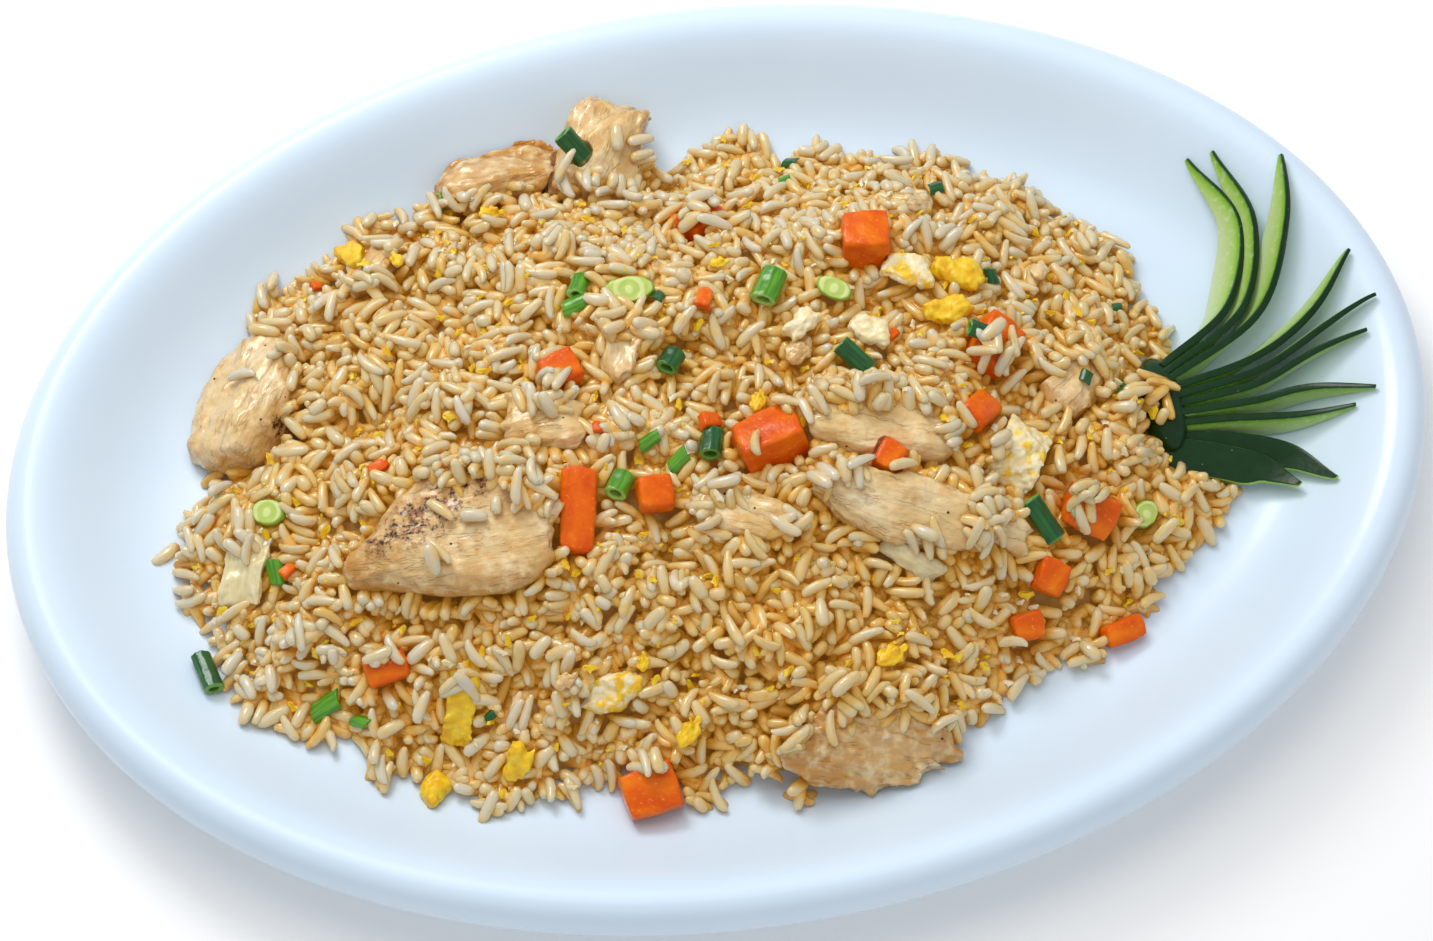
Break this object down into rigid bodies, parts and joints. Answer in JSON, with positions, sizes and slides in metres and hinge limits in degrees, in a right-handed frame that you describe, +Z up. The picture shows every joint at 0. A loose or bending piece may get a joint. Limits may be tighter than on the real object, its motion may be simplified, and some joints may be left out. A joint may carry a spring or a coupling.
{
  "type": "plate of chicken fried rice",
  "caption": "Oval white platter holding a low mound of fried rice with chicken, carrot, scallion, egg and onion, and a cucumber fan at one end.",
  "frame": {"origin": "middle of the platter's foot ring, on the plane it stands on", "axes": "+X along the platter towards the cucumber fan, +Y across it towards the side away from the viewer, +Z up"},
  "size_m": [0.356, 0.254, 0.0429],
  "materials": {
    "porcelain": "smooth glossy white glaze with a faint cool tint",
    "rice": "separate oily grains, cream to tan",
    "chicken": "cream-tan fibrous meat with browned spots and a thin oil film",
    "carrot": "bright orange, moist",
    "scallion_green": "mid to dark green leaf, ribbed and moist",
    "scallion_pale": "pale green stalk slice with fine rings",
    "egg": "soft yellow curd streaked with white",
    "onion": "translucent pale yellow, moist",
    "cucumber": "dark green waxy skin over pale green flesh"
  },
  "bodies": {
    "root": {"carrot_01": "carrot", "carrot_02": "carrot", "carrot_03": "carrot", "carrot_04": "carrot", "carrot_05": "carrot", "carrot_06": "carrot", "carrot_07": "carrot", "carrot_08": "carrot", "carrot_09": "carrot", "carrot_10": "carrot", "carrot_11": "carrot", "carrot_12": "carrot", "carrot_13": "carrot", "carrot_14": "carrot", "carrot_15": "carrot", "chicken_browned": "chicken", "chicken_far_hump": "chicken", "chicken_far_slab": "chicken", "chicken_flakes": "chicken", "chicken_left": "chicken", "chicken_long": "chicken", "chicken_middle": "chicken", "chicken_right": "chicken", "chicken_right_low": "chicken", "chicken_seared": "chicken", "chicken_shreds": "chicken", "chicken_strip": "chicken", "chicken_torn": "chicken", "cucumber_fan": "cucumber", "egg_01": "egg", "egg_02": "egg", "egg_03": "egg", "egg_04": "egg", "egg_05": "egg", "egg_06": "egg", "egg_07": "egg", "egg_08": "egg", "egg_09": "egg", "egg_10": "egg", "egg_11": "egg", "onion_01": "onion", "onion_02": "onion", "platter": "porcelain", "rice": "rice", "scallion_01": "scallion_green", "scallion_02": "scallion_green", "scallion_03": "scallion_green", "scallion_04": "scallion_green", "scallion_05": "scallion_green", "scallion_06": "scallion_green", "scallion_07": "scallion_green", "scallion_08": "scallion_green", "scallion_09": "scallion_green", "scallion_10": "scallion_green", "scallion_11": "scallion_green", "scallion_12": "scallion_green", "scallion_13": "scallion_pale", "scallion_14": "scallion_pale", "scallion_15": "scallion_pale", "scallion_16": "scallion_pale"}
  },
  "joints": []
}
